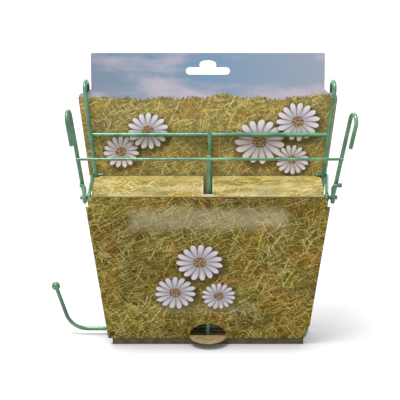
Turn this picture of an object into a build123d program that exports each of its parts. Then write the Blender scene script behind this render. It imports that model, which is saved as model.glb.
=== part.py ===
from build123d import *
import os
from math import cos, radians, sin, tan

# Wire hay manger for a small-pet cage, standing in its folded card sleeve.
# Millimetres. X runs to the viewer's right, Y from the front to the back, Z up.
# The origin lies on the floor, at the middle of the sleeve's bottom panel.

# ---------------------------------------------------------------- wire sizes
heavy_wire = 3.1            # frames, lid rod, lid arms
thin_wire = 2.1             # cross wires and ties
rail_wire = 2.6             # side rails
hanger_wire = 3.0           # salt spool hanger
weld_sink = 0.35            # depth that two welded wires are pressed together
eye_gap = 0.08              # play between a rail's eye and the lid rod
wrap_gap = 0.02             # each lid arm is wrapped tight round the rod
card_gap = 0.2              # play between wires and card
hairpin_flat = 0.1          # straight bit across the top of a hook
bend_ease = 0.02            # two bends in a row stay this far from meeting

# --------------------------------------------------------------- card sleeve
board = 0.6                 # card thickness
front_lean = 11.6           # degrees that the front leans towards the viewer
front_foot_y = -16.5        # outer face of the front panel at its lower edge
front_foot_z = 5.4
front_length = 121.5        # front panel along its slope
panel_over_top = 2.15       # front panel beyond its frame's wire, at the top
panel_over_foot = 0.05      # and at the foot
corner_clip_x = 5.0         # clipped lower right corner of the front panel
corner_clip_up = 11.0
notch_side_gap = 1.9        # the upper corners are notched beside the lid arms
notch_margin = 0.4          # room below an arm's wrap in its notch
fold_drop = 3.7             # lid rod axis below the top fold, along the slope
crease_gap = 0.9            # front panel's upper edge below the flap's fold line

back_face_y = 11.0          # front face of the back card
back_half_foot = 72.6
wing_top_z = 186.9
wing_reach = 7.1            # wing beyond the header's shoulder
wing_round = 4.0
header_half = 85.1
header_height = 30.0        # above the wings
header_round = 1.5
shoulder = 3.0              # chamfer between header and wings
hang_slot_width = 32.0
hang_slot_height = 5.5
hang_slot_drop = 13.5       # slot's middle below the header's top edge
hang_bump_height = 5.3
hang_bump_width = 12.0

flap_side_gap = 0.5         # between the flap and the side rails' eyes
flap_rear_gap = 0.45        # between the flap's free edge and the rails' hooked tips
flap_corner = 5.0          # the free edge is clipped clear of the back wires
flap_slot_side = 1.8        # room beside the lid's centre strut in its slot
flap_slot_gap = 1.2         # between the slot's square end and the strut

lip_inset = 3.2             # the tuck lip is this much narrower than the panel's foot
lip_up = 14.0
lip_window_side = 8.0       # the lip's window is wider than the half-moon
moon_half = 14.0            # half-moon window in the front panel
moon_height = 11.3
moon_up = 1.6               # its straight lower edge above the panel's edge
tongue_gap = 0.35           # cut line between tongue and window
tongue_dip = 12.0           # degrees below level that the tongue hangs

# ---------------------------------------------------------------- back frame
back_wire_half_foot = 71.0
back_wire_half_top = 91.6
back_corner_bend = 12.0
back_hook_bend = 6.5
back_hook_inward = 2.0      # the return leg stands a little further in
back_hook_leg = 18.0
back_shift = 1.3            # the back frame is welded this far off the sleeve's middle
top_bar_z = 155.7
hook_over_bar = 40.8        # height of the hooks above the heavy cross bar
bar_overrun = 0.6           # bar past the middle of each side wire
centre_overrun = 2.6        # centre wire above the bar
back_cross_first = 48.0
back_cross_pitch = 44.0

# --------------------------------------------------------------- front frame
run_gap = 0.1               # between the bottom run and the bottom panel
front_wire_half_foot = 72.65
front_wire_half_top = 85.25  # at the lid rod, where the rails' eyes stand on it
front_corner_bend = 10.0
front_cross_first = 28.0
front_cross_pitch = 36.0
front_centre_overrun = 3.0  # centre wire above the last cross wire
cross_room = 8.0            # least height between a cross wire and the rod or rails

# -------------------------------------------------------- rails and the ties
eye_lip = 1.2               # an eye's end above the rod's axis
rail_tip_reach = 7.7        # hooked tip, inward behind the back wire
lower_rail_z = 55.0
tie_pitch = 48.0
tie_rise = 0.5              # ties above the front frame's bottom run

# ---------------------------------------------------------------------- lid
wrap_side_gap = 1.0         # between a rail's eye and an arm's wrap
rod_stub = 1.7              # rod past an arm's wrap
lid_shift = 0.6             # the rod's end play, taken up to the right
arm_up_right = 61.0         # straight part of an arm above the hinge axis
arm_up_left = 63.5
arm_splay_right = 10.6      # the arms are hand-bent and spread unevenly
arm_splay_left = 8.4
lid_hook_bend = 5.5
hook_turn_right = 19.0      # degrees that the hooks are turned outward
hook_turn_left = 9.0
lid_hook_leg = 19.5
tail_rise = 2.6             # the wrapped end leaves the rod here and leans to its arm
tail_up = 10.0              # where it crosses the arm
tail_gap = 0.1              # between the two there
tail_bend = 3.2
tail_tip_bend = 3.0
tail_reach_right = 6.3
tail_reach_left = 3.4
lid_cross_up = 30.8
strut_overrun = 1.3         # strut above the cross wire
strut_below = 1.2           # the strut ends a little below the rod's axis
strut_sink = 0.25           # weld to the rod

# ------------------------------------------------------------- salt hanger
hanger_inner_x = -53.3
hanger_bend_x = -91.7
hanger_bend = 17.0
hanger_rise = 72.0          # degrees turned upward
hanger_arm = 23.6
ball_diameter = 6.6

# ------------------------------------------------------------ derived values
heavy_r = heavy_wire / 2
thin_r = thin_wire / 2
rail_r = rail_wire / 2
lean = radians(front_lean)
frame_back = board + board + card_gap + heavy_r      # front frame behind the panel's outer face
rail_eye_bend = heavy_r + eye_gap + rail_r
rod_back = board + card_gap + rail_eye_bend + rail_r   # the rail eyes clear the front panel
hinge_up = front_length - fold_drop
hang_slot_z = wing_top_z + header_height - hang_slot_drop
header_top_z = wing_top_z + header_height
wing_half_top = header_half + shoulder + wing_reach
front_run_z = board + run_gap + heavy_r
tie_z = front_run_z + tie_rise
back_run_z = tie_z + thin_r + heavy_r - weld_sink    # the back frame's run lies on the ties
back_hook_top_z = top_bar_z + hook_over_bar
wrap_bend = heavy_r + wrap_gap + heavy_r
lid_back = rod_back + wrap_bend                        # arms and strut pass behind the rod
bar_y = back_face_y - card_gap - heavy_r             # heavy cross bar
back_wire_y = bar_y - heavy_wire + weld_sink         # side wires stand in front of it
rail_back_y = back_wire_y + heavy_r + rail_r         # the rails' hooked tips
eye_half = front_wire_half_top + rail_r + wrap_side_gap + heavy_r   # an arm's wrap
rod_half = eye_half + heavy_r + rod_stub
notch_inner = eye_half - heavy_r - notch_side_gap
flap_half = front_wire_half_top - rail_r - flap_side_gap
front_half_top = front_wire_half_top + heavy_r + panel_over_top
front_half_foot = front_wire_half_foot + heavy_r + panel_over_foot
lip_half = front_half_foot - lip_inset
lip_window_half = moon_half + lip_window_side
back_wire_slope = (back_wire_half_top - back_wire_half_foot) / (back_hook_top_z - back_run_z)


def on_front(x, back, up):
    """Point behind the front panel's outer face and up along its slope."""
    y = front_foot_y + back * cos(lean) - up * sin(lean)
    z = front_foot_z + back * sin(lean) + up * cos(lean)
    return Vector(x, y, z)


def bent_wire(points, bends, diameter):
    """Round wire along straight runs joined by bends."""
    path = FilletPolyline(*points, radius=bends)
    section = Plane(origin=path @ 0, z_dir=path % 0) * Circle(diameter / 2)
    return sweep(section, path=path)


def straight_wire(start, end, diameter):
    run = end - start
    return Part() + Solid.make_cylinder(diameter / 2, run.length, Plane(origin=start, z_dir=run))


def mirrored(shape):
    return mirror(shape, about=Plane.YZ)


def card(profile, half_width):
    """Card panel: a cross-section in Y and Z drawn out along X."""
    face = make_face(Plane.YZ * Polyline(*profile, close=True))
    return extrude(face, amount=half_width, both=True)


def front_half(up):
    """Half width of the front panel at a height on its slope."""
    return front_half_foot + (front_half_top - front_half_foot) * up / front_length


def front_wire_half(up):
    return front_wire_half_foot + (front_wire_half_top - front_wire_half_foot) * up / hinge_up


def back_wire_half(z):
    return back_wire_half_foot + back_wire_slope * (z - back_run_z)


def evenly(first, pitch, last):
    """Heights of cross wires at an even pitch, up to the last that has room."""
    return [first + pitch * i for i in range(int((last - first) / pitch) + 1)]


fold = on_front(0, 0, front_length)
hinge = on_front(0, rod_back, hinge_up)
rail_z = hinge.Z + rail_eye_bend
front_cross_up = evenly(front_cross_first, front_cross_pitch, hinge_up - cross_room)
back_cross_z = evenly(back_cross_first, back_cross_pitch, rail_z - cross_room)
front_run_up = (front_run_z - front_foot_z - frame_back * sin(lean)) / cos(lean)
front_plane = Plane(origin=on_front(0, 0, 0), x_dir=(1, 0, 0), z_dir=(0, -cos(lean), -sin(lean)))


# ================================================================ the frames
def make_back_frame():
    hook_foot_z = back_hook_top_z - heavy_r
    inward = back_hook_inward
    half = []
    for side in (-1, 1):
        top = Vector(side * back_wire_half(hook_foot_z), back_wire_y, hook_foot_z)
        over = top + Vector(-side * inward, 2 * back_hook_bend + hairpin_flat, 0)
        leg_end = over - Vector(0, 0, back_hook_bend + back_hook_leg)
        half.append([leg_end, over, top, Vector(side * back_wire_half_foot, back_wire_y, back_run_z)])
    points = half[0] + half[1][::-1]
    bends = [back_hook_bend, back_hook_bend, back_corner_bend,
             back_corner_bend, back_hook_bend, back_hook_bend]
    return bent_wire(points, bends, heavy_wire)


def make_front_frame():
    eye_reach = rail_eye_bend + rail_r
    top_up = hinge_up - (eye_reach ** 2 - (rod_back - frame_back) ** 2) ** 0.5 + weld_sink
    corner = front_wire_half(front_run_up)
    points = []
    for side in (-1, 1):
        top = on_front(side * front_wire_half(top_up), frame_back, top_up)
        foot = on_front(side * corner, frame_back, front_run_up)
        points += [top, foot][::-side]
    return bent_wire(points, [front_corner_bend, front_corner_bend], heavy_wire)


def make_back_cross_wires():
    y = back_wire_y + heavy_r + thin_r - weld_sink
    wires = Part()
    for z in back_cross_z:
        half = back_wire_half(z) + heavy_r
        wires += straight_wire(Vector(-half, y, z), Vector(half, y, z), thin_wire)
    return wires


def make_front_cross_wires():
    back = frame_back + heavy_r + thin_r - weld_sink
    wires = Part()
    for up in front_cross_up:
        half = front_wire_half(up) + heavy_r
        wires += straight_wire(on_front(-half, back, up), on_front(half, back, up), thin_wire)
    return wires


def make_side_rail(shift):
    """Right-hand rail: an eye round the lid rod, then back and hooked behind the back wire."""
    outside = back_wire_half(rail_z) + shift + heavy_r + rail_r
    x, reach = front_wire_half_top, rail_eye_bend
    points = [Vector(x, hinge.Y + reach, hinge.Z + eye_lip),
              Vector(x, hinge.Y + reach, hinge.Z - reach),
              Vector(x, hinge.Y - reach, hinge.Z - reach),
              Vector(x, hinge.Y - reach, rail_z),
              Vector(outside, rail_back_y, rail_z),
              Vector(outside - rail_tip_reach, rail_back_y, rail_z)]
    eye = reach - bend_ease
    return bent_wire(points, [eye, eye, eye, heavy_r + rail_r - bend_ease], rail_wire)


def make_lower_side_rail(shift):
    """Right-hand thin wire, welded to the inner sides of both frames."""
    up = (lower_rail_z - front_foot_z - frame_back * sin(lean)) / cos(lean)
    start = on_front(front_wire_half(up) - heavy_r - thin_r + weld_sink, frame_back, up)
    end_x = back_wire_half(lower_rail_z) + shift - heavy_r - thin_r + weld_sink
    end = Vector(end_x, back_wire_y + heavy_r, start.Z)
    return straight_wire(start - Vector(0, heavy_r, 0), end, thin_wire)


def make_floor_ties():
    front_run = on_front(0, frame_back, front_run_up)
    start_y = front_run.Y + heavy_r - weld_sink
    ties = Part()
    for x in (-tie_pitch, 0, tie_pitch):
        ties += straight_wire(Vector(x, start_y, tie_z), Vector(x, back_wire_y + thin_r, tie_z), thin_wire)
    return ties


# ==================================================================== the lid
def make_lid_arm(arm_up, splay, turn, tail_reach):
    """Right-hand arm: wrapped round the rod below, a hanging hook above."""
    turn = radians(turn)
    arm_slope = splay / arm_up
    hook_up = arm_up + lid_hook_bend
    top = on_front(eye_half + arm_slope * hook_up, lid_back, hinge_up + hook_up)
    width = 2 * lid_hook_bend + hairpin_flat
    over = top + Vector(width * sin(turn), -width * cos(turn), 0)
    down = (on_front(0, 0, 0) - on_front(arm_slope, 0, 1)).normalized()
    leg_end = over + down * (lid_hook_bend + lid_hook_leg)
    front = rod_back - wrap_bend
    low = hinge_up - wrap_bend
    crossing = on_front(eye_half, lid_back - heavy_wire - tail_gap, hinge_up + tail_up)
    points = [leg_end, over, top, on_front(eye_half, lid_back, low), on_front(eye_half, front, low),
              on_front(eye_half, front, hinge_up + tail_rise), crossing,
              crossing + Vector(tail_reach, 0, 0)]
    wrap = wrap_bend - bend_ease
    bends = [lid_hook_bend, lid_hook_bend, wrap, wrap, tail_bend, tail_tip_bend]
    return bent_wire(points, bends, heavy_wire)


def make_lid_strut():
    """Centre strut, welded behind the lid rod and behind the cross wire."""
    back = lid_back - strut_sink
    low, high = hinge_up - strut_below, hinge_up + lid_cross_up + strut_overrun
    return straight_wire(on_front(0, back, low), on_front(0, back, high), heavy_wire)


def make_lid_cross_wire():
    back = lid_back - heavy_r - thin_r + weld_sink
    right = eye_half + arm_splay_right / arm_up_right * lid_cross_up + heavy_r
    left = eye_half + arm_splay_left / arm_up_left * lid_cross_up + heavy_r
    up = hinge_up + lid_cross_up
    return straight_wire(on_front(-left, back, up), on_front(right, back, up), thin_wire)


# ============================================================ the salt hanger
def hanger_points():
    y = back_wire_y - heavy_r - hanger_wire / 2 + weld_sink
    rise = radians(hanger_rise)
    corner_x = hanger_bend_x - hanger_bend * tan(rise / 2)
    reach = hanger_bend * tan(rise / 2) + hanger_arm
    inner = Vector(hanger_inner_x, y, back_run_z)
    corner = Vector(corner_x, y, back_run_z)
    end = corner + Vector(-cos(rise), 0, sin(rise)) * reach
    return inner, corner, end


def make_salt_hanger_ball():
    inner, corner, end = hanger_points()
    along = (end - corner).normalized()
    ball = Pos(end) * Sphere(ball_diameter / 2)
    socket = Solid.make_cylinder(hanger_wire / 2, ball_diameter, Plane(origin=end, z_dir=-along))
    return ball - socket


# ============================================================ the card sleeve
def make_back_card():
    half = back_half_foot
    outline = [(-half, 0), (half, 0), (wing_half_top, wing_top_z),
               (header_half + shoulder, wing_top_z), (header_half, wing_top_z + shoulder),
               (header_half, header_top_z), (-header_half, header_top_z),
               (-header_half, wing_top_z + shoulder), (-header_half - shoulder, wing_top_z),
               (-wing_half_top, wing_top_z)]
    face = make_face(Polyline(*outline, close=True))
    tips = face.vertices().filter_by(lambda v: abs(abs(v.X) - wing_half_top) < 0.01)
    face = fillet(tips, wing_round)
    crown = face.vertices().filter_by(lambda v: abs(v.Y - header_top_z) < 0.01)
    face = fillet(crown, header_round)
    slot = Pos(0, hang_slot_z) * SlotOverall(hang_slot_width, hang_slot_height)
    bump = Pos(0, hang_slot_z + hang_bump_height / 2) * Rectangle(hang_bump_width, hang_bump_height)
    cap = Pos(0, hang_slot_z + hang_bump_height) * Ellipse(hang_bump_width / 2, hang_slot_height / 2)
    plane = Plane(origin=(0, back_face_y, 0), x_dir=(1, 0, 0), z_dir=(0, -1, 0))
    return extrude(plane * (face - slot - bump - cap), amount=-board)


def make_bottom_panel():
    inner_foot = lip_line(2 * board, 0)
    inner_top = lip_line(2 * board, board)
    return card([(inner_foot, 0), (back_face_y, 0), (back_face_y, board), (inner_top, board)], lip_half)


def lip_line(back, z):
    """Y of a plane parallel to the front panel, at a height above the floor."""
    up = (z - front_foot_z - back * sin(lean)) / cos(lean)
    return on_front(0, back, up).Y


def make_tuck_lip():
    outer, inner = on_front(0, board, lip_up), on_front(0, 2 * board, lip_up)
    top = [(inner.Y, inner.Z), (outer.Y, outer.Z)]
    lip = card([(lip_line(board, 0), 0), (lip_line(2 * board, 0), 0)] + top, lip_half)
    sill = [(lip_line(board, front_foot_z), front_foot_z), (lip_line(2 * board, front_foot_z), front_foot_z)]
    return lip - card(sill + top, lip_window_half)


def moon_face(inset):
    """Half-moon on the front panel, standing on its straight lower edge."""
    half = moon_half - inset
    height = moon_height - inset
    arch = Ellipse(half, height)
    return Pos(0, moon_up + inset) * (arch & Pos(0, height / 2) * Rectangle(4 * half, height))


def make_front_panel():
    top = front_length - crease_gap
    notch_low = hinge_up - wrap_bend - heavy_r - notch_margin
    half_low, half_foot = front_half(notch_low), front_half_foot
    clip_edge = front_half(corner_clip_up)
    outline = [(-half_foot, 0), (half_foot - corner_clip_x, 0), (clip_edge, corner_clip_up),
               (half_low, notch_low), (notch_inner, notch_low), (notch_inner, top),
               (-notch_inner, top), (-notch_inner, notch_low), (-half_low, notch_low)]
    face = make_face(Polyline(*outline, close=True)) - moon_face(0)
    return extrude(front_plane * face, amount=-board)


def make_lock_tongue():
    shut = extrude(front_plane * moon_face(tongue_gap), amount=-board)
    pivot = on_front(0, 0, moon_up + tongue_gap)
    fold_down = 90 + tongue_dip - front_lean
    return shut.rotate(Axis(pivot, (1, 0, 0)), fold_down)


def make_top_flap():
    depth = rail_back_y - rail_r - flap_rear_gap - fold.Y
    strut_back = lid_back - strut_sink
    strut_up = (fold.Z - front_foot_z - strut_back * sin(lean)) / cos(lean)
    strut_y = on_front(0, strut_back, strut_up).Y
    slot_end = strut_y - heavy_r / cos(lean) - flap_slot_gap - fold.Y
    outline = Pos(0, depth / 2) * Rectangle(2 * flap_half, depth)
    rear = outline.vertices().filter_by(lambda v: v.Y > depth / 2)
    outline = chamfer(rear, flap_corner)
    slot = Pos(0, (slot_end + depth) / 2) * Rectangle(2 * (heavy_r + flap_slot_side), depth - slot_end)
    return extrude(Pos(0, fold.Y, fold.Z) * (outline - slot), amount=-board)


# ================================================================ all pieces
bar_half = back_wire_half(top_bar_z) + bar_overrun
centre_foot_z = back_run_z + heavy_r - weld_sink
hanger_inner, hanger_corner, hanger_end = hanger_points()
lid_arm_right = make_lid_arm(arm_up_right, arm_splay_right, hook_turn_right, tail_reach_right)
lid_arm_left = make_lid_arm(arm_up_left, arm_splay_left, hook_turn_left, tail_reach_left)

back_frame = {
    "back_frame_wire": make_back_frame(),
    "back_top_bar": straight_wire(Vector(-bar_half, bar_y, top_bar_z),
                                  Vector(bar_half, bar_y, top_bar_z), heavy_wire),
    "back_centre_wire": straight_wire(Vector(0, back_wire_y, centre_foot_z),
                                      Vector(0, back_wire_y, top_bar_z + centre_overrun), heavy_wire),
    "back_cross_wires": make_back_cross_wires(),
    "salt_hanger_rod": bent_wire([hanger_inner, hanger_corner, hanger_end], [hanger_bend], hanger_wire),
    "salt_hanger_ball": make_salt_hanger_ball(),
}

front_frame = {
    "front_frame_wire": make_front_frame(),
    "front_centre_wire": straight_wire(on_front(0, frame_back, front_run_up + heavy_r - weld_sink),
                                       on_front(0, frame_back, front_cross_up[-1] + front_centre_overrun),
                                       heavy_wire),
    "front_cross_wires": make_front_cross_wires(),
    "side_rail_right": make_side_rail(back_shift),
    "side_rail_left": mirrored(make_side_rail(-back_shift)),
    "lower_side_rail_right": make_lower_side_rail(back_shift),
    "lower_side_rail_left": mirrored(make_lower_side_rail(-back_shift)),
    "floor_ties": make_floor_ties(),
}

lid = {
    "lid_rod": straight_wire(on_front(-rod_half, rod_back, hinge_up),
                             on_front(rod_half, rod_back, hinge_up), heavy_wire),
    "lid_arm_right": lid_arm_right,
    "lid_arm_left": mirrored(lid_arm_left),
    "lid_centre_strut": make_lid_strut(),
    "lid_cross_wire": make_lid_cross_wire(),
}

card_sleeve = {
    "back_card": make_back_card(),
    "bottom_panel": make_bottom_panel(),
    "tuck_lip": make_tuck_lip(),
    "front_panel": make_front_panel(),
    "top_flap": make_top_flap(),
    "lock_tongue": make_lock_tongue(),
}

pieces = {name: Pos(back_shift, 0, 0) * piece for name, piece in back_frame.items()}
pieces |= front_frame
pieces |= {name: Pos(lid_shift, 0, 0) * piece for name, piece in lid.items()}
pieces |= card_sleeve

tongue_axis = on_front(0, 0, moon_up + tongue_gap)
print("lid hinge", hinge, "flap fold", fold, "tongue fold", tongue_axis)

os.makedirs("parts", exist_ok=True)
for name, piece in pieces.items():
    export_step(piece, f"parts/{name}.step")
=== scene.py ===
import math

import bpy
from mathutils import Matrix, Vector


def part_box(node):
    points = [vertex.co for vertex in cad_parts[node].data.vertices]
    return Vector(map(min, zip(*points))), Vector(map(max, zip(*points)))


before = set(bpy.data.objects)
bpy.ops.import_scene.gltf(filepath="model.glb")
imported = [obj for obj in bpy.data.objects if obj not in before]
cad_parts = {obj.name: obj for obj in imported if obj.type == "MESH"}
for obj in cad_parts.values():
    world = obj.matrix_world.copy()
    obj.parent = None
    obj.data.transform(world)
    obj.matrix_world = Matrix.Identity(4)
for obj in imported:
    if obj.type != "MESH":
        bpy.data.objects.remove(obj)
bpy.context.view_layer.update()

# Wire hay manger in its folded card sleeve. Metres, in the frame of the CAD.

MM = 0.001
UP = (0.0, 0.0, 1.0)
DOWN = (0.0, 0.0, -1.0)
FORWARD = (0.0, -1.0, 0.0)
scene = bpy.context.scene


def linear(shade):
    """Linear colour from a printed hex shade."""
    parts = [int(shade[i:i + 2], 16) / 255 for i in (1, 3, 5)]
    curve = [c / 12.92 if c <= 0.04045 else ((c + 0.055) / 1.055) ** 2.4 for c in parts]
    return (*curve, 1.0)


# ------------------------------------------------------------ shader writing
class Value:
    """A shader socket that can stand in an arithmetic expression."""

    def __init__(self, writer, socket):
        self.writer = writer
        self.socket = socket

    def __add__(self, other):
        return self.writer.math("ADD", self, other)

    def __sub__(self, other):
        return self.writer.math("SUBTRACT", self, other)

    def __rsub__(self, other):
        return self.writer.math("SUBTRACT", other, self)

    def __mul__(self, other):
        return self.writer.math("MULTIPLY", self, other)

    def __truediv__(self, other):
        return self.writer.math("DIVIDE", self, other)

    def __pow__(self, other):
        return self.writer.math("POWER", self, other)

    def __gt__(self, other):
        return self.writer.math("GREATER_THAN", self, other)

    def __lt__(self, other):
        return self.writer.math("LESS_THAN", self, other)

    def __abs__(self):
        return self.writer.math("ABSOLUTE", self)

    __radd__ = __add__
    __rmul__ = __mul__

    def beside(self, output):
        """Another output of the same node."""
        return Value(self.writer, self.socket.node.outputs[output])


class Writer:
    """Writes nodes into one node tree."""

    def __init__(self, tree):
        self.tree = tree

    def node(self, kind, settings=(), sockets=(), out=0):
        """Adds a node: its settings first, then the values or links of its sockets."""
        made = self.tree.nodes.new(kind)
        for name, setting in dict(settings).items():
            if name == "stops":
                ramp = made.color_ramp.elements
                while len(ramp) < len(setting):
                    ramp.new(0.5)
                for stop, (place, colour) in zip(ramp, setting):
                    stop.position = place
                    stop.color = colour
            else:
                setattr(made, name, setting)
        for name, value in dict(sockets).items():
            self.feed(made.inputs[name], value)
        return Value(self, made.outputs[out])

    def feed(self, socket, value):
        if isinstance(value, Value):
            self.tree.links.new(value.socket, socket)
        else:
            socket.default_value = value

    def math(self, operation, *terms):
        return self.node("ShaderNodeMath", {"operation": operation}, enumerate(terms))

    def larger(self, first, second):
        return self.math("MAXIMUM", first, second)

    def distance(self, first, second):
        """Distance in a plane, from the two offsets along its axes."""
        return self.math("SQRT", first * first + second * second)

    def vector(self, x, y, z):
        return self.node("ShaderNodeCombineXYZ", (), {"X": x, "Y": y, "Z": z})

    def noise(self, place, scale, detail):
        """Cloudy noise around a half, with about as many lumps to a unit as the scale says."""
        sockets = {"Vector": place, "Scale": scale, "Detail": detail}
        return self.node("ShaderNodeTexNoise", (), sockets, "Fac")

    def chance(self, place):
        """Three random numbers for a place."""
        colour = self.node("ShaderNodeTexWhiteNoise", (), {"Vector": place}, "Color")
        red = self.node("ShaderNodeSeparateColor", (), {"Color": colour}, "Red")
        return red, red.beside("Green"), red.beside("Blue")

    def ramp(self, value, *stops):
        return self.node("ShaderNodeValToRGB", {"stops": stops}, {"Fac": value}, "Color")

    def step(self, value, start, end, low=0.0, high=1.0):
        """Smooth step from low to high as the value goes from start to end."""
        settings = {"interpolation_type": "SMOOTHSTEP"}
        sockets = {"Value": value, "From Min": start, "From Max": end, "To Min": low, "To Max": high}
        return self.node("ShaderNodeMapRange", settings, sockets, "Result")

    def mix(self, factor, first, second, blend="MIX"):
        settings = {"data_type": "RGBA", "blend_type": blend, "clamp_factor": True}
        return self.node("ShaderNodeMix", settings, {0: factor, 6: first, 7: second}, 2)

    def grey(self, value):
        return self.node("ShaderNodeCombineColor", (), dict.fromkeys(("Red", "Green", "Blue"), value))

    def seen_rays(self):
        """1 for what the camera sees, straight, mirrored or through something clear."""
        camera = self.node("ShaderNodeLightPath", out="Is Camera Ray")
        mirrored = camera.beside("Is Glossy Ray")
        return self.larger(self.larger(camera, mirrored), camera.beside("Is Transmission Ray"))


class Look(Writer):
    """A material and the nodes that make it."""

    def __init__(self, name, roughness, coat=0.0, gloss=0.5):
        self.material = bpy.data.materials.new(name)
        self.material.use_nodes = True
        super().__init__(self.material.node_tree)
        self.inputs = self.tree.nodes["Principled BSDF"].inputs
        self.inputs["Roughness"].default_value = roughness
        self.inputs["Coat Weight"].default_value = coat
        self.inputs["Coat Roughness"].default_value = 0.12
        self.inputs["Specular IOR Level"].default_value = gloss
        self.point = self.node("ShaderNodeTexCoord", out="Object")
        self.x = self.node("ShaderNodeSeparateXYZ", (), {"Vector": self.point}, "X")
        self.y, self.z = self.x.beside("Y"), self.x.beside("Z")

    def facing(self, toward):
        """1 where the surface faces a way in the object's own frame."""
        normal = self.node("ShaderNodeTexCoord", out="Normal")
        sockets = {0: normal, 1: toward}
        dot = self.node("ShaderNodeVectorMath", {"operation": "DOT_PRODUCT"}, sockets, "Value")
        return self.step(dot, 0.6, 0.8)

    def bump(self, height, strength, depth):
        sockets = {"Height": height, "Strength": strength, "Distance": depth}
        self.feed(self.inputs["Normal"], self.node("ShaderNodeBump", (), sockets))

    def paint(self, colour):
        self.feed(self.inputs["Base Color"], colour)


# ------------------------------------------------------------- coated wire
WIRE_GREEN = linear("#569469")
WIRE_DEEP = linear("#2b6344")
WIRE_PALE = linear("#86bd94")


def coated_wire():
    """Dipped plastic coating, cloudy where it is thick and paler where it is thin."""
    look = Look("green_vinyl_coating", 0.3, coat=0.6)
    cloud = look.noise(look.point, scale=90.0, detail=3.0)
    peel = look.noise(look.point, scale=900.0, detail=2.0)
    shade = look.mix(look.step(cloud, 0.35, 0.7), WIRE_DEEP, WIRE_GREEN)
    thin_spots = look.step(look.noise(look.point, scale=420.0, detail=4.0), 0.6, 0.78, high=0.45)
    look.paint(look.mix(thin_spots, shade, WIRE_PALE))
    look.feed(look.inputs["Roughness"], 0.22 + peel * 0.16)
    look.bump(cloud * 0.6 + peel * 0.4, strength=0.35, depth=0.25 * MM)
    return look.material


# -------------------------------------------------------------- hay print
HAY_GAP = linear("#3a2c04")
HAY_DARK = linear("#625008")
HAY_MID = linear("#94832f")
HAY_LIGHT = linear("#d6ca80")
HAY_BROWN = linear("#7a5514")
HAY_GOLD = linear("#e0a860")
HAY_MOSS = linear("#a8bc70")
FADED_STRAW = linear("#d9cfa0")

STRAW_LAYERS = 9
STRAW_WIDTH = 1.1 * MM
STRAW_LENGTH = 9.8 * MM
STRAW_SWAY = 9.0 * MM
ROW_STAGGER = 9.0           # straw lengths by which a row is shifted at most
STRAW_COVER = 0.42          # share of the places in a layer that hold a straw
BROWN_SHARE = 0.18          # share of the straws that are browner
LAYER_TURN = 0.382          # half turns from one layer to the next
FIRST_TURN = 0.2            # radians
PATCH_STRENGTH = 0.4


def straws(look, under, right, up, turn, seed, size):
    """Lays a layer of printed straws over a colour, one way round."""
    along = right * math.cos(turn) + up * math.sin(turn)
    across = up * math.cos(turn) - right * math.sin(turn)
    sway = look.noise(look.vector(along, across, seed), scale=55.0, detail=1.0) - 0.5
    row = (across + sway * STRAW_SWAY) / (STRAW_WIDTH * size)
    row_number = look.math("FLOOR", row)
    stagger = look.chance(look.vector(row_number, seed, 0.5))[0] * ROW_STAGGER
    cell = along / (STRAW_LENGTH * size) + stagger
    pick, tone, hue = look.chance(look.vector(row_number, look.math("FLOOR", cell), seed))
    middle = 1 - abs(look.math("FRACT", row) - 0.5) * 2
    tip = 1 - abs(look.math("FRACT", cell) - 0.5) * 2
    body = look.step(middle * look.math("POWER", tip, 0.35), 0.25, 0.5)
    straw = look.ramp(tone, (0.0, HAY_DARK), (0.45, HAY_MID), (1.0, HAY_LIGHT))
    straw = look.mix((hue > 1 - BROWN_SHARE) * 0.6, straw, HAY_BROWN)
    straw = look.mix(look.step(middle, 0.3, 0.9, low=0.45, high=0.0), straw, HAY_GAP)
    return look.mix(body * (pick < STRAW_COVER), under, straw)


def hay(look, right, up, seed, ink):
    """Printed hay: layers of straws turned all ways over dark gaps."""
    place = look.vector(right, up, seed)
    patches = look.noise(place, scale=70.0, detail=3.0)
    colour = look.mix(look.step(patches, 0.35, 0.65), HAY_GAP, HAY_DARK)
    for layer in range(STRAW_LAYERS):
        turn = math.pi * (layer * LAYER_TURN % 1) + FIRST_TURN
        # The layers' straws are 0.55 to 1.95 times the plain size.
        size = 1.25 + 0.7 * math.sin(layer * 2.3)
        colour = straws(look, colour, right, up, turn, seed + layer, size)
    drift = look.step(look.noise(place, scale=28.0, detail=2.0), 0.3, 0.7, low=0.8, high=1.16)
    grain = look.step(look.noise(place, scale=700.0, detail=2.0), 0.25, 0.75, low=0.72, high=1.2)
    colour = look.mix(1.0, colour, look.grey(drift * grain * ink), "MULTIPLY")
    golden = look.noise(place, scale=48.0, detail=3.0)
    mossy = look.noise(look.vector(up, right, seed), scale=40.0, detail=3.0)
    colour = look.mix(look.step(golden, 0.46, 0.66, high=PATCH_STRENGTH), colour, HAY_GOLD, "SOFT_LIGHT")
    return look.mix(look.step(mossy, 0.5, 0.68, high=PATCH_STRENGTH), colour, HAY_MOSS, "SOFT_LIGHT")


# ------------------------------------------------------------ daisy print
PETAL = linear("#f1ecf2")
PETAL_SHADE = linear("#9b909a")
HEART = linear("#5a4a40")
HEART_SPECK = linear("#c9a878")
PETALS = 15
DAISY_SQUASH = 0.92         # height over width
DAISY_TURN = 1.3            # radians from one flower to the next


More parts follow.
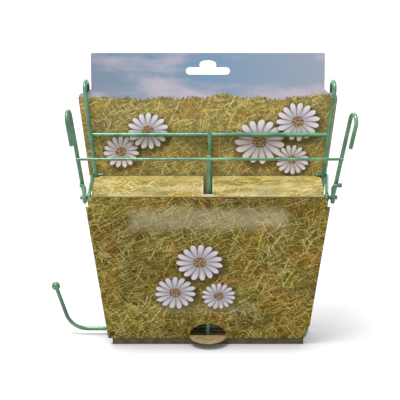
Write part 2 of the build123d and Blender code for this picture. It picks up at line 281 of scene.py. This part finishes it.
def daisy(look, under, right, up, centre, radius, turn):
    """Prints one daisy with its soft shadow over a colour."""
    across = (right - centre[0]) / radius
    rise = (up - centre[1]) / (radius * DAISY_SQUASH)
    reach = look.distance(across, rise)
    shadow_reach = look.distance(across - 0.08, rise + 0.12)
    under = look.mix(look.step(shadow_reach, 0.8, 1.12, low=0.7, high=0.0), under, HAY_GAP)
    angle = look.math("ARCTAN2", rise, across)
    lobe = abs(look.math("COSINE", (angle + turn + reach * 0.12) * (PETALS / 2)))
    ragged = look.noise(look.vector(right, up, turn), scale=160.0, detail=1.0) * 0.14
    petal_end = 0.55 + 0.4 * look.math("POWER", lobe, 0.45) - ragged
    groove = look.step(lobe, 0.1, 0.75)
    round_shade = look.step(reach, 0.2, 0.85, low=0.35)
    vein = look.noise(look.vector(angle * 5.0, reach, turn), scale=6.0, detail=2.0)
    light = groove * round_shade * look.step(vein, 0.2, 0.7, low=0.75)
    petals = look.mix(light, PETAL_SHADE, PETAL)
    colour = look.mix(look.step(petal_end - reach, -0.015, 0.02), under, petals)
    specks = look.noise(look.vector(right, up, turn), scale=900.0, detail=2.0)
    heart = look.mix(look.step(specks, 0.42, 0.62), HEART, HEART_SPECK)
    return look.mix(look.step(reach, 0.24, 0.28, low=1.0, high=0.0), colour, heart)


def bouquet(look, colour, right, up, flowers):
    for number, (centre_right, centre_up, radius) in enumerate(flowers):
        centre = (centre_right * MM, centre_up * MM)
        colour = daisy(look, colour, right, up, centre, radius * MM, number * DAISY_TURN)
    return colour


# -------------------------------------------------------------- raw board
KRAFT = linear("#99835c")
KRAFT_DARK = linear("#745e3f")
KRAFT_PALE = linear("#af966f")


def raw_board(look):
    """Unprinted brown board with long fibres and flecks."""
    fibres = look.noise(look.vector(look.x * 0.25, look.y, look.z), scale=1400.0, detail=3.0)
    clouds = look.noise(look.point, scale=120.0, detail=3.0)
    board = look.mix(look.step(clouds, 0.2, 0.8, low=0.1, high=0.9), KRAFT, KRAFT_PALE)
    return look.mix(look.step(fibres, 0.56, 0.75, high=0.4), board, KRAFT_DARK)


def card_finish(look, colour):
    """Coated card: faint waves in the board, a fine grain and a soft gloss."""
    look.paint(colour)
    waves = look.noise(look.point, scale=22.0, detail=2.0)
    grain = look.noise(look.point, scale=1500.0, detail=2.0)
    look.bump(waves * 0.8 + grain * 0.05, strength=0.25, depth=0.8 * MM)
    look.feed(look.inputs["Roughness"], 0.42 + grain * 0.16)


# ------------------------------------------------------------ front panel
panel_low, panel_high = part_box("front_panel")
lean = math.atan2(panel_high.y - panel_low.y, panel_high.z - panel_low.z)
PALE_INK = linear("#d2c9a4")
FRONT_HAY = {"seed": 3.0, "ink": 1.03}

# Each flower: right of the middle line, up from the panel's foot, and radius, in millimetres.
FRONT_FLOWERS = ((-24, 40, 17), (8, 37, 14), (-6, 66, 19))
UPPER_BAND = {"centre_up": 103 * MM, "half_width": 56 * MM, "half_height": 10 * MM, "strength": 0.4}
LOWER_BAND = {"centre_up": 26 * MM, "half_width": 36 * MM, "half_height": 5 * MM, "strength": 0.22}
BAND_RAGGED = 10 * MM
BAND_END_FADE = 12 * MM
BAND_EDGE_INNER = 2 * MM
BAND_EDGE_OUTER = 8 * MM


def pale_band(look, colour, right, up, centre_up, half_width, half_height, strength):
    """A soft pale band in the print."""
    ragged = look.noise(look.vector(right, up, centre_up), scale=90.0, detail=2.0) * BAND_RAGGED
    aside = abs(right) + ragged
    above = abs(up - centre_up) + ragged
    within = look.step(aside, half_width, half_width + BAND_END_FADE, low=1.0, high=0.0)
    edge_start, edge_end = half_height - BAND_EDGE_INNER, half_height + BAND_EDGE_OUTER
    level = look.step(above, edge_start, edge_end, low=1.0, high=0.0)
    return look.mix(within * level * strength, colour, PALE_INK)


def front_print():
    look = Look("printed_front_panel", 0.5, gloss=0.15)
    right = look.x
    up = (look.z - panel_low.z) / math.cos(lean)
    colour = hay(look, right, up, **FRONT_HAY)
    colour = pale_band(look, colour, right, up, **UPPER_BAND)
    colour = bouquet(look, colour, right, up, FRONT_FLOWERS)
    colour = pale_band(look, colour, right, up, **LOWER_BAND)
    outward = (0.0, -math.cos(lean), -math.sin(lean))
    card_finish(look, look.mix(look.facing(outward), raw_board(look), colour))
    return look.material


# --------------------------------------------------------- half-moon tongue
tongue_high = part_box("lock_tongue")[1]
CUT_EDGE = linear("#c4aa82")
TONGUE_DIP = math.radians(12.0)     # how far the tongue hangs below level at rest


def tongue_print():
    """Half-moon tongue: raw board on its inner face, the panel's print on its outer face."""
    look = Look("half_moon_tongue", 0.6, gloss=0.3)
    mottle = look.noise(look.vector(look.x * 0.5, look.y, look.z), scale=520.0, detail=3.0)
    board = look.mix(look.step(mottle, 0.35, 0.7, low=0.12, high=0.62), raw_board(look), KRAFT_DARK)
    # At rest the outer face hangs down, and the print runs on from the crease.
    crease_up = (tongue_high.z - panel_low.z) / math.cos(lean)
    up = (tongue_high.y - look.y) / math.cos(TONGUE_DIP) + crease_up
    outer = look.facing(DOWN)
    # The cut edge is paler board, painted lighter still as a highlight.
    cut = 1 - look.larger(look.facing(UP), outer)
    colour = look.mix(outer, board, hay(look, look.x, up, **FRONT_HAY))
    look.paint(look.mix(cut * 0.8, colour, CUT_EDGE))
    fibres = look.noise(look.vector(look.x * 0.2, look.y, look.z), scale=1800.0, detail=3.0)
    look.bump(fibres, strength=0.3, depth=0.2 * MM)
    return look.material


# ---------------------------------------------------------------- top flap
flap_low, flap_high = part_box("top_flap")
SLOT_PAINTED_LIGHT = linear("#dfe3cf")
FLAP_SLOT_HALF = 3.35 * MM
SLOT_RIM = 1.6 * MM
REAR_SHADE = 14 * MM        # depth of the painted shade at the flap's rear
RIM_FADE = 6 * MM
CREASE_START = 0.2 * MM     # the pale front crease, a painted highlight over worn board, from the flap's front edge
CREASE_END = 1.1 * MM


def flap_print():
    """Paler, drifting hay, with painted shade at the rear, a pale front crease that is worn board with a
    painted highlight, and a painted pale rim of light beside the slot.
    """
    look = Look("printed_top_flap", 0.5, gloss=0.15)
    drift = look.noise(look.vector(look.x, look.y * 1.6, 3.0), scale=42.0, detail=3.0)
    faded = look.step(drift, 0.35, 0.68, low=0.04, high=0.42)
    colour = look.mix(faded, hay(look, look.x, look.y, seed=21.0, ink=1.1), FADED_STRAW)
    # Painted shade: the rear of the flap, by the back card, is darkened toward mid hay.
    rear = flap_high.y - REAR_SHADE
    colour = look.mix(look.step(look.y, rear, flap_high.y, high=0.35), colour, HAY_MID)
    # Painted light: a pale rim beside the slot, fading toward the flap's rear, stands in for the bright
    # inside seen through the slot.
    beside_slot = look.step(abs(look.x), FLAP_SLOT_HALF, FLAP_SLOT_HALF + SLOT_RIM, low=0.4, high=0.0)
    along_slot = look.step(look.y, rear, rear + RIM_FADE, low=1.0, high=0.0)
    colour = look.mix(beside_slot * along_slot, colour, SLOT_PAINTED_LIGHT)
    # Painted highlight along the front fold, over the paler worn board of the crease.
    crease_start, crease_end = flap_low.y + CREASE_START, flap_low.y + CREASE_END
    crease_highlight_and_wear = look.step(look.y, crease_start, crease_end, low=0.5, high=0.0)
    colour = look.mix(crease_highlight_and_wear, colour, KRAFT_PALE)
    card_finish(look, look.mix(look.facing(UP), raw_board(look), colour))
    return look.material


# ------------------------------------------------------ back card and header
card_low, card_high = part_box("back_card")
SKY_LEFT = linear("#8593a8")
SKY_MIDDLE = linear("#809fbb")
SKY_RIGHT = linear("#a6adbe")
CLOUD = linear("#cdc3cf")
FIELD_EDGE = 168.5 * MM     # the field's edge against the sky, before its tufts
TUFT_HEIGHT = 22 * MM
BLADE_HEIGHT = 9 * MM
HAZE_LOW = 178 * MM
HAZE_HIGH = 200 * MM
PRINT_OVERLAP = 4 * MM      # print that runs down below the flap
# Each flower: right of the middle line, up from the floor, and radius, in millimetres.
HEADER_FLOWERS = ((-64, 142, 15), (-44, 158, 17), (38, 150, 21), (66, 165, 18), (62, 136, 14))


def sky(look):
    across = (look.x - card_low.x) / (card_high.x - card_low.x)
    blue = look.ramp(across, (0.0, SKY_LEFT), (0.5, SKY_MIDDLE), (1.0, SKY_RIGHT))
    drift = look.noise(look.vector(look.x * 0.35, look.z, 4.0), scale=46.0, detail=4.0)
    clouds = look.step(drift, 0.48, 0.68, high=0.8)
    haze = look.step(look.z, HAZE_LOW, HAZE_HIGH, low=0.22, high=0.0)
    return look.mix(clouds + haze, blue, CLOUD)


def header_print():
    look = Look("printed_back_card", 0.5, gloss=0.15)
    field = look.mix(0.14, hay(look, look.x, look.z, seed=40.0, ink=1.14), FADED_STRAW)
    tufts = look.noise(look.vector(look.x, 0.0, 2.0), scale=32.0, detail=1.0) * TUFT_HEIGHT
    blade_place = look.vector(look.x, look.z * 0.15, 7.0)
    blades = look.noise(blade_place, scale=900.0, detail=2.0) * BLADE_HEIGHT
    above = FIELD_EDGE + tufts + blades - look.z
    colour = look.mix(look.step(above, -0.4 * MM, 0.6 * MM), sky(look), field)
    colour = bouquet(look, colour, look.x, look.z, HEADER_FLOWERS)
    printed = look.facing(FORWARD) * (look.z > flap_low.z - PRINT_OVERLAP)
    card_finish(look, look.mix(printed, raw_board(look), colour))
    return look.material


# ------------------------------------------------------------- sleeve foot
FOOT_BOARD = linear("#7d725c")
FOOT_DARK = linear("#4a4231")
PAINTED_SHADOW_LOW = 1.6 * MM       # the painted shadow strip, down from the front panel's lower edge
PAINTED_SHADOW_HIGH = 0.2 * MM


def sleeve_board():
    """Bottom panel and tuck lip: dull grey-brown board outside, raw board inside, with a painted shadow
    under the front panel's edge.
    """
    look = Look("plain_sleeve_foot", 0.6, gloss=0.15)
    clouds = look.step(look.noise(look.point, scale=160.0, detail=3.0), 0.3, 0.7, high=0.5)
    fibres = look.noise(look.vector(look.x * 0.3, look.y, look.z), scale=1200.0, detail=3.0)
    shade = look.mix(clouds + fibres * 0.3, FOOT_BOARD, FOOT_DARK)
    # Painted shadow: the lip is darker just under the front panel's lower edge, where that edge's shade
    # falls.
    painted_shadow_strip = look.step(look.z, panel_low.z - PAINTED_SHADOW_LOW, panel_low.z - PAINTED_SHADOW_HIGH, high=0.7)
    shade = look.mix(painted_shadow_strip, shade, FOOT_DARK)
    outside = look.larger(look.facing(DOWN), look.facing(FORWARD))
    card_finish(look, look.mix(outside, raw_board(look), shade))
    return look.material


# ---------------------------------------------------------------- dressing
foot_board = sleeve_board()
card_finishes = {
    "front_panel": front_print(),
    "lock_tongue": tongue_print(),
    "top_flap": flap_print(),
    "back_card": header_print(),
    "bottom_panel": foot_board,
    "tuck_lip": foot_board,
}
wire_finish = coated_wire()
for node_name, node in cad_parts.items():
    node.data.materials.clear()
    node.data.materials.append(card_finishes.get(node_name, wire_finish))


# ------------------------------------------------------------------- stage
FLOOR_HALF = 8.0
FLOOR_GREY = (0.5, 0.5, 0.51, 1.0)
GLOW_NEAR = 0.45            # the floor's own light near the object, where the lamp adds to it
GLOW_FAR = 0.9
NEAR_FLOOR = 0.2            # metres from the middle of the floor
FAR_FLOOR = 1.2
CONTACT_SHADOW_REACH = 30 * MM
CONTACT_SHADOW_POWER = 1.5
WORLD_LIGHT = 0.48
LAMP_AIM = (0.0, 0.0, 0.1)


def floor_finish():
    """White floor that keeps the object's shadow and looks white to the camera, with a painted contact
    shadow in its glow near the object.
    """
    look = Look("studio_floor", 0.9)
    look.inputs["Base Color"].default_value = FLOOR_GREY
    # Painted contact shadow: the floor's glow darkens where the object stands close over it.
    painted_contact_shadow = look.node("ShaderNodeAmbientOcclusion", {"samples": 8}, {"Distance": CONTACT_SHADOW_REACH}, "AO")
    far = look.distance(look.x, look.y)
    glow = look.step(far, NEAR_FLOOR, FAR_FLOOR, low=GLOW_NEAR, high=GLOW_FAR)
    white = look.seen_rays() * glow * painted_contact_shadow ** CONTACT_SHADOW_POWER
    look.feed(look.inputs["Emission Color"], look.grey(white))
    look.inputs["Emission Strength"].default_value = 1.0
    return look.material


def make_floor():
    mesh = bpy.data.meshes.new("studio_floor")
    corners = [(x * FLOOR_HALF, y * FLOOR_HALF, 0) for x, y in ((-1, -1), (1, -1), (1, 1), (-1, 1))]
    mesh.from_pydata(corners, [], [(0, 1, 2, 3)])
    mesh.materials.append(floor_finish())
    floor = bpy.data.objects.new("studio_floor", mesh)
    scene.collection.objects.link(floor)


def make_world():
    """Even white light that looks full white to the camera."""
    world = bpy.data.worlds.new("studio")
    world.use_nodes = True
    scene.world = world
    writer = Writer(world.node_tree)
    background = world.node_tree.nodes["Background"]
    background.inputs["Color"].default_value = (1.0, 1.0, 1.0, 1.0)
    writer.feed(background.inputs["Strength"], WORLD_LIGHT + writer.seen_rays() * (1 - WORLD_LIGHT))


def make_lamp(name, place, size, watts):
    """A round softbox turned to the middle of the object."""
    lamp = bpy.data.lights.new(name, "AREA")
    lamp.shape = "DISK"
    lamp.size = size
    lamp.energy = watts
    holder = bpy.data.objects.new(name, lamp)
    holder.location = place
    toward = Vector(LAMP_AIM) - Vector(place)
    holder.rotation_euler = toward.to_track_quat("-Z", "Y").to_euler()
    scene.collection.objects.link(holder)


def make_camera():
    """Camera at the photograph's height, with the photograph's framing."""
    frame_pixels = 400
    elevation = math.radians(18.5)
    distance = 1.5
    target = Vector((0.0, -0.015, 0.105))
    metres_per_pixel = 0.7305 * MM
    target_right, target_down = 7.9, 10.69
    camera = bpy.data.cameras.new("photo_camera")
    camera.sensor_width = 36.0
    camera.lens = camera.sensor_width * distance / (frame_pixels * metres_per_pixel)
    camera.shift_x = -target_right / frame_pixels
    camera.shift_y = target_down / frame_pixels
    holder = bpy.data.objects.new("photo_camera", camera)
    back = Vector((0.0, -math.cos(elevation), math.sin(elevation)))
    holder.location = target + back * distance
    holder.rotation_euler = (-back).to_track_quat("-Z", "Y").to_euler()
    scene.collection.objects.link(holder)
    scene.camera = holder


make_floor()
make_world()
make_lamp("key_softbox", place=(-0.34, -0.36, 1.52), size=0.75, watts=30.0)
make_lamp("rear_fill", place=(-0.3, 1.1, 1.2), size=0.9, watts=4.0)
make_camera()
scene.view_settings.view_transform = "Standard"
